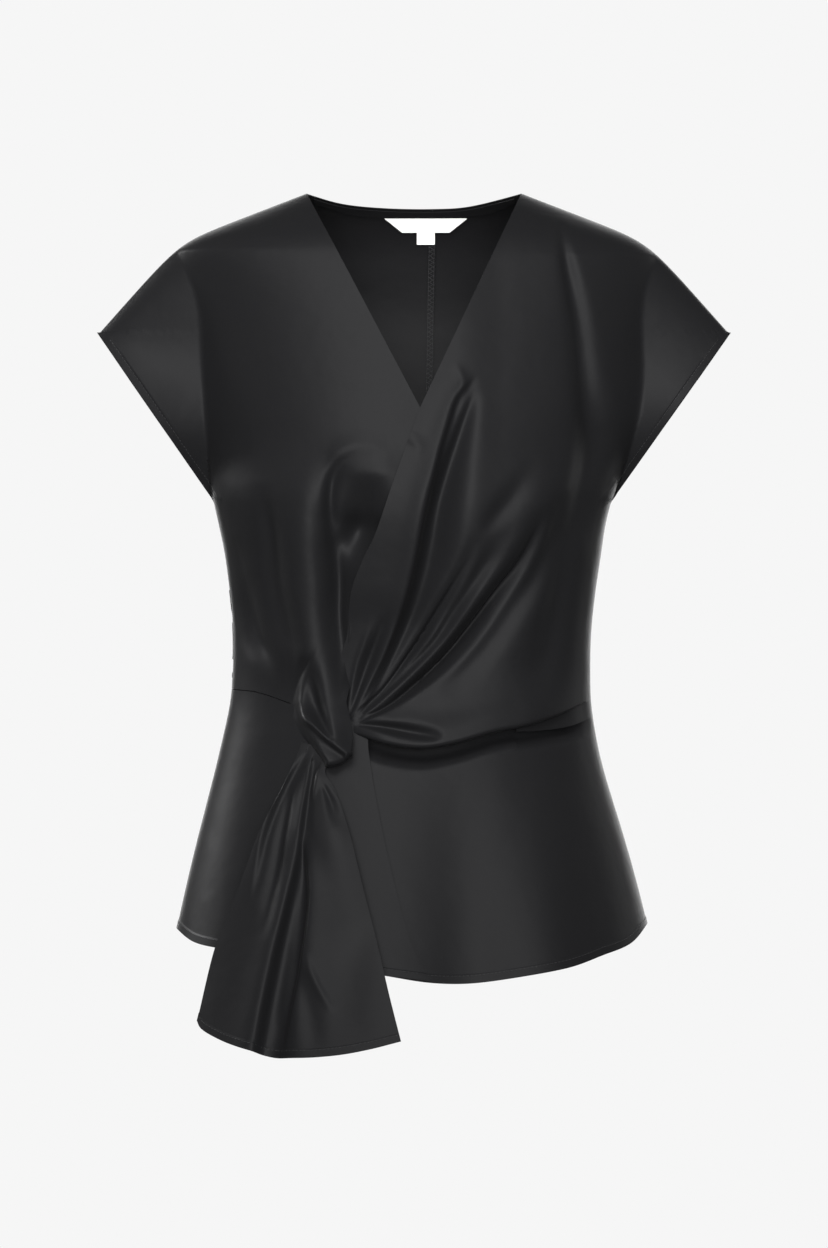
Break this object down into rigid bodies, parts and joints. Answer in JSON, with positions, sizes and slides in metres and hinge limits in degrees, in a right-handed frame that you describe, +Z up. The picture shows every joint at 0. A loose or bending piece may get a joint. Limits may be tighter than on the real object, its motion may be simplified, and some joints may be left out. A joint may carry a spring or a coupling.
{
  "type": "wrap top",
  "caption": "Short-sleeved satin wrap top with a V neck, knotted at the waist with a hanging tail over a flared peplum, in the hollow form that it has when worn.",
  "frame": {"origin": "between the shoulders, in the plane of the shoulder and side seams, where the wearer holds the top up", "axes": "+Z up, -Y out of the front, +X to the wearer's left"},
  "size_m": [0.52, 0.3146, 0.7043],
  "materials": {
    "satin": "black polyester satin, soft sheen",
    "label": "white woven ribbon, bare"
  },
  "bodies": {
    "root": {"front_right": "satin", "front_left": "satin", "wrap_return": "satin", "tie_tail": "satin", "peplum_right": "satin", "peplum_left": "satin", "peplum_back": "satin", "back_right": "satin", "back_left": "satin", "neck_facing": "satin", "neck_label": "label", "size_tab": "label"}
  },
  "joints": []
}
